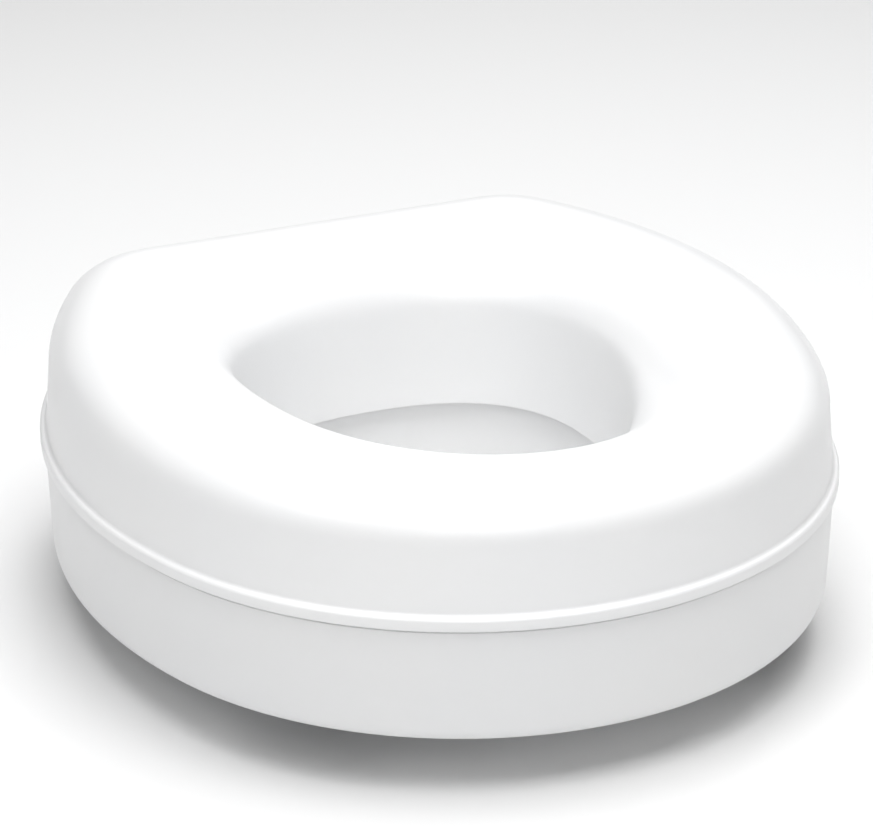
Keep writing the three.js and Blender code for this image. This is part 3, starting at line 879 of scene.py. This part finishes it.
def bracket_mesh():
    """The right bracket: an L with a filleted root, rounded corners, two gussets and a bolt hole."""
    low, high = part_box("bracket_right")
    wall = 3.5 * MM
    fillet = 3 * MM
    bend = 2.2 * MM
    plate_bottom = high[2] - wall
    leg_inner = high[0] - wall
    profile = [
        (low[0], plate_bottom),
        *arc_points((leg_inner - fillet, plate_bottom - fillet), fillet, 90, 0),
        *arc_points((leg_inner + wall / 2, low[2] + wall / 2), wall / 2, 180, 360, 8),
        *arc_points((high[0] - bend, high[2] - bend), bend, 0, 90),
        (low[0], high[2]),
    ]
    shape = bevelled(extruded("bracket", profile, low[1], high[1]), 0.5 * MM, 3)
    reach, drop, thick = 9 * MM, 13 * MM, 2.4 * MM
    corner_x, corner_z = leg_inner + 1 * MM, plate_bottom + 1 * MM
    gusset = [(corner_x - reach, corner_z), (corner_x, corner_z - drop), (corner_x, corner_z)]
    gussets = [
        extruded("gusset", gusset, y, y + thick)
        for y in (low[1] + 1.2 * MM, high[1] - 1.2 * MM - thick)
    ]
    shape = combined(shape, gussets, "UNION")
    x, y = bolt_place("right")
    hole = turned("hole", pin_profile(BOLT_HOLE, low[2], high[2] + 5 * MM), x, y, 40)
    return combined(shape, [hole], "DIFFERENCE")


def bolt_place(side_name):
    low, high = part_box(f"bracket_bolt_{side_name}")
    return (low[0] + high[0]) / 2, (low[1] + high[1]) / 2


def bracket_pad_mesh():
    """The right bracket's rubber facing, ribbed where it bears on the bowl."""
    low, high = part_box("bracket_pad_right")
    ribs = 6
    steps = 48
    root = 1.1 * MM
    face = []
    for i in range(steps + 1):
        share = i / steps
        ridge = abs(math.sin(math.pi * ribs * share)) ** 0.6
        face.append((high[0] - root * (1 - ridge), low[2] + (high[2] - low[2]) * share))
    profile = [(low[0], low[2]), *face, (low[0], high[2])]
    return bevelled(extruded("bracket_pad", profile, low[1], high[1]), 0.3 * MM, 2, 60)


def bolt_mesh():
    """The right carriage bolt: a thread, a square neck in the flange's slot, and a domed head."""
    low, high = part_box("bracket_bolt_right")
    x, y = bolt_place("right")
    sides = 48
    radius = NECK_HALF
    neck_bottom, seat = FLANGE_BOTTOM + GAP, FLANGE_TOP + GAP
    angles = TURN * np.arange(sides) / sides
    square = np.minimum(NECK_HALF / np.maximum(np.abs(np.cos(angles)), np.abs(np.sin(angles))), 3.9 * MM)
    head = (high[0] - low[0]) / 2
    dome = [(1.0, 0.0), (1.0, 0.22), (0.93, 0.42), (0.8, 0.64), (0.6, 0.83), (0.35, 0.96), (0.1, 1.0)]
    rings = [round_ring(radius - 0.8 * MM, low[2], x, y, sides)]
    rings += thread(radius, 0.5 * MM, 1.0 * MM, low[2] + 0.8 * MM, neck_bottom - 3 * MM, x, y, sides)
    rings.append(round_ring(radius, neck_bottom, x, y, sides))
    rings += [round_ring(square, z, x, y, sides) for z in (neck_bottom, seat)]
    rings += [
        round_ring(head * across, seat + (high[2] - seat) * up, x, y, sides)
        for across, up in dome
    ]
    return stack_mesh("bolt", rings)


def washer_mesh():
    low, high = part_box("bracket_washer_right")
    x, y = bolt_place("right")
    outer, edge = (high[0] - low[0]) / 2, 0.25 * MM
    profile = [
        (outer - edge, low[2]), (outer, low[2] + edge), (outer, high[2] - edge), (outer - edge, high[2]),
        (BOLT_HOLE + edge, high[2]), (BOLT_HOLE, high[2] - edge), (BOLT_HOLE, low[2] + edge),
        (BOLT_HOLE + edge, low[2]),
    ]
    return turned("washer", profile, x, y, 64)


def nut_mesh():
    """The right thumb nut: a lobed grip with rounded edges and a raised hub on both faces."""
    low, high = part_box("thumb_nut_right")
    x, y = bolt_place("right")
    sides = 96
    bottom, top = low[2], high[2]
    lobed = NUT_RADIUS + NUT_LOBE * np.cos(NUT_LOBES * TURN * np.arange(sides) / sides)
    edge = 1.5 * MM
    sink = 0.9 * MM
    grip = [(edge, 0), (0.45 * edge, 0.14 * edge), (0.14 * edge, 0.45 * edge), (0, edge)]
    hub = 5.4 * MM

    def ring(radius, z):
        return round_ring(radius, z, x, y, sides)

    section = [
        ring(lobed - edge - 0.7 * MM, bottom + 0.5 * MM),
        *[ring(lobed - across, bottom + up) for across, up in grip],
        *[ring(lobed - across, top - up) for across, up in reversed(grip)],
        ring(lobed - edge - 0.7 * MM, top - 0.5 * MM),
        ring(hub + 0.5 * MM, top - sink),
        ring(hub, top - 0.3 * MM),
        ring(hub - 0.3 * MM, top),
        ring(BOLT_HOLE + 0.5 * MM, top),
        ring(BOLT_HOLE, top - 0.5 * MM),
        ring(BOLT_HOLE, bottom + 0.5 * MM),
        ring(BOLT_HOLE + 0.5 * MM, bottom),
        ring(hub - 0.3 * MM, bottom),
        ring(hub, bottom + 0.3 * MM),
        ring(hub + 0.5 * MM, bottom + sink),
    ]
    return ring_mesh("nut", section)


def make_clamps():
    """The five pieces of each side bracket, made on the right and mirrored to the left."""
    kinds = [
        ("bracket", bracket_mesh(), BRACKET, "clamp", "bracket_plastic", 35),
        ("bracket_pad", bracket_pad_mesh(), RUBBER, "clamp", "pad_rubber", 50),
        ("bracket_bolt", bolt_mesh(), STEEL, "clamp", "fastener_steel", 40),
        ("bracket_washer", washer_mesh(), STEEL, "washer", "fastener_steel", 30),
        ("thumb_nut", nut_mesh(), BRACKET, "nut", "bracket_plastic", 45),
    ]
    for node_name, right, material, body, slot, crease in kinds:
        for side_name, mesh in {"left": mirrored(right), "right": right.copy()}.items():
            packed = f"{node_name}_{side_name}"
            piece(f"{packed}_finished", smooth(mesh, crease), material, f"{body}_{side_name}", slot, packed)


SCREWS = screw_places()
FINE_RIM, FINE_NORMAL = outline(2400)
PADS = {name: pad_stretch(name) for name in sorted(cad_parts) if name.startswith("rim_pad_")}


# ---- camera, light and floor ----
def make_camera():
    """The viewing angle: a long lens from the front left, looking down."""
    azimuth = math.radians(-24.5)
    elevation = math.radians(23.17)
    distance = 1.621
    roll = math.radians(0.19)
    aim = Vector((11 * MM, 40 * MM, 87 * MM))
    data = bpy.data.cameras.new("camera")
    data.sensor_width = 36
    data.lens = 130.45
    camera = bpy.data.objects.new("camera", data)
    bpy.context.scene.collection.objects.link(camera)
    away = Vector((
        math.sin(azimuth) * math.cos(elevation),
        -math.cos(azimuth) * math.cos(elevation),
        math.sin(elevation),
    ))
    turn = (-away).to_track_quat("-Z", "Y").to_matrix() @ Matrix.Rotation(-roll, 3, "Z")
    camera.matrix_world = Matrix.Translation(aim + distance * away) @ turn.to_4x4()
    bpy.context.scene.camera = camera


def softbox(name, place, aim, size, power):
    data = bpy.data.lights.new(name, "AREA")
    data.shape = "RECTANGLE"
    data.size, data.size_y = size
    data.energy = power
    lamp = bpy.data.objects.new(name, data)
    bpy.context.scene.collection.objects.link(lamp)
    place = Vector(place)
    turn = (Vector(aim) - place).to_track_quat("-Z", "Y").to_matrix().to_4x4()
    lamp.matrix_world = Matrix.Translation(place) @ turn


HORIZON_LIGHT = 0.02
ZENITH_LIGHT = 0.06


def make_stage():
    size = 8
    floor = mesh_of("floor", [(-size, -size, 0), (size, -size, 0), (size, size, 0), (-size, size, 0)],
                    [(0, 1, 2, 3)])
    floor.materials.append(floor_paint())
    made = bpy.data.objects.new("floor", floor)
    bpy.context.scene.collection.objects.link(made)
    world = bpy.data.worlds.new("studio")
    world.use_nodes = True
    tree = world.node_tree
    sky = tree.nodes["Background"]
    sky.inputs["Color"].default_value = (1.0, 1.0, 1.0, 1)
    direction = node(tree, "ShaderNodeTexCoord").outputs["Generated"]
    height = node(tree, "ShaderNodeSeparateXYZ", {"Vector": direction}).outputs["Z"]
    tree.links.new(ramp(tree, height, HORIZON_LIGHT, ZENITH_LIGHT, 0.0, 0.7), sky.inputs["Strength"])
    bpy.context.scene.world = world
    middle = (0, 0, TOP_Z / 2)
    softbox("overhead", (0.0, -0.3, 2.2), middle, (2.2, 2.2), 65)
    softbox("high_rear", (0.9, 1.3, 2.2), middle, (1.6, 1.6), 16)
    softbox("front", (-0.7, -2.2, 1.5), middle, (1.6, 1.2), 13)
    softbox("left", (-1.6, -0.6, 1.7), middle, (1.0, 1.0), 7.5)
    bpy.context.scene.view_settings.view_transform = "Standard"


make_camera()
make_seat()
make_base()
make_pads()
make_screws()
make_clamps()
make_stage()
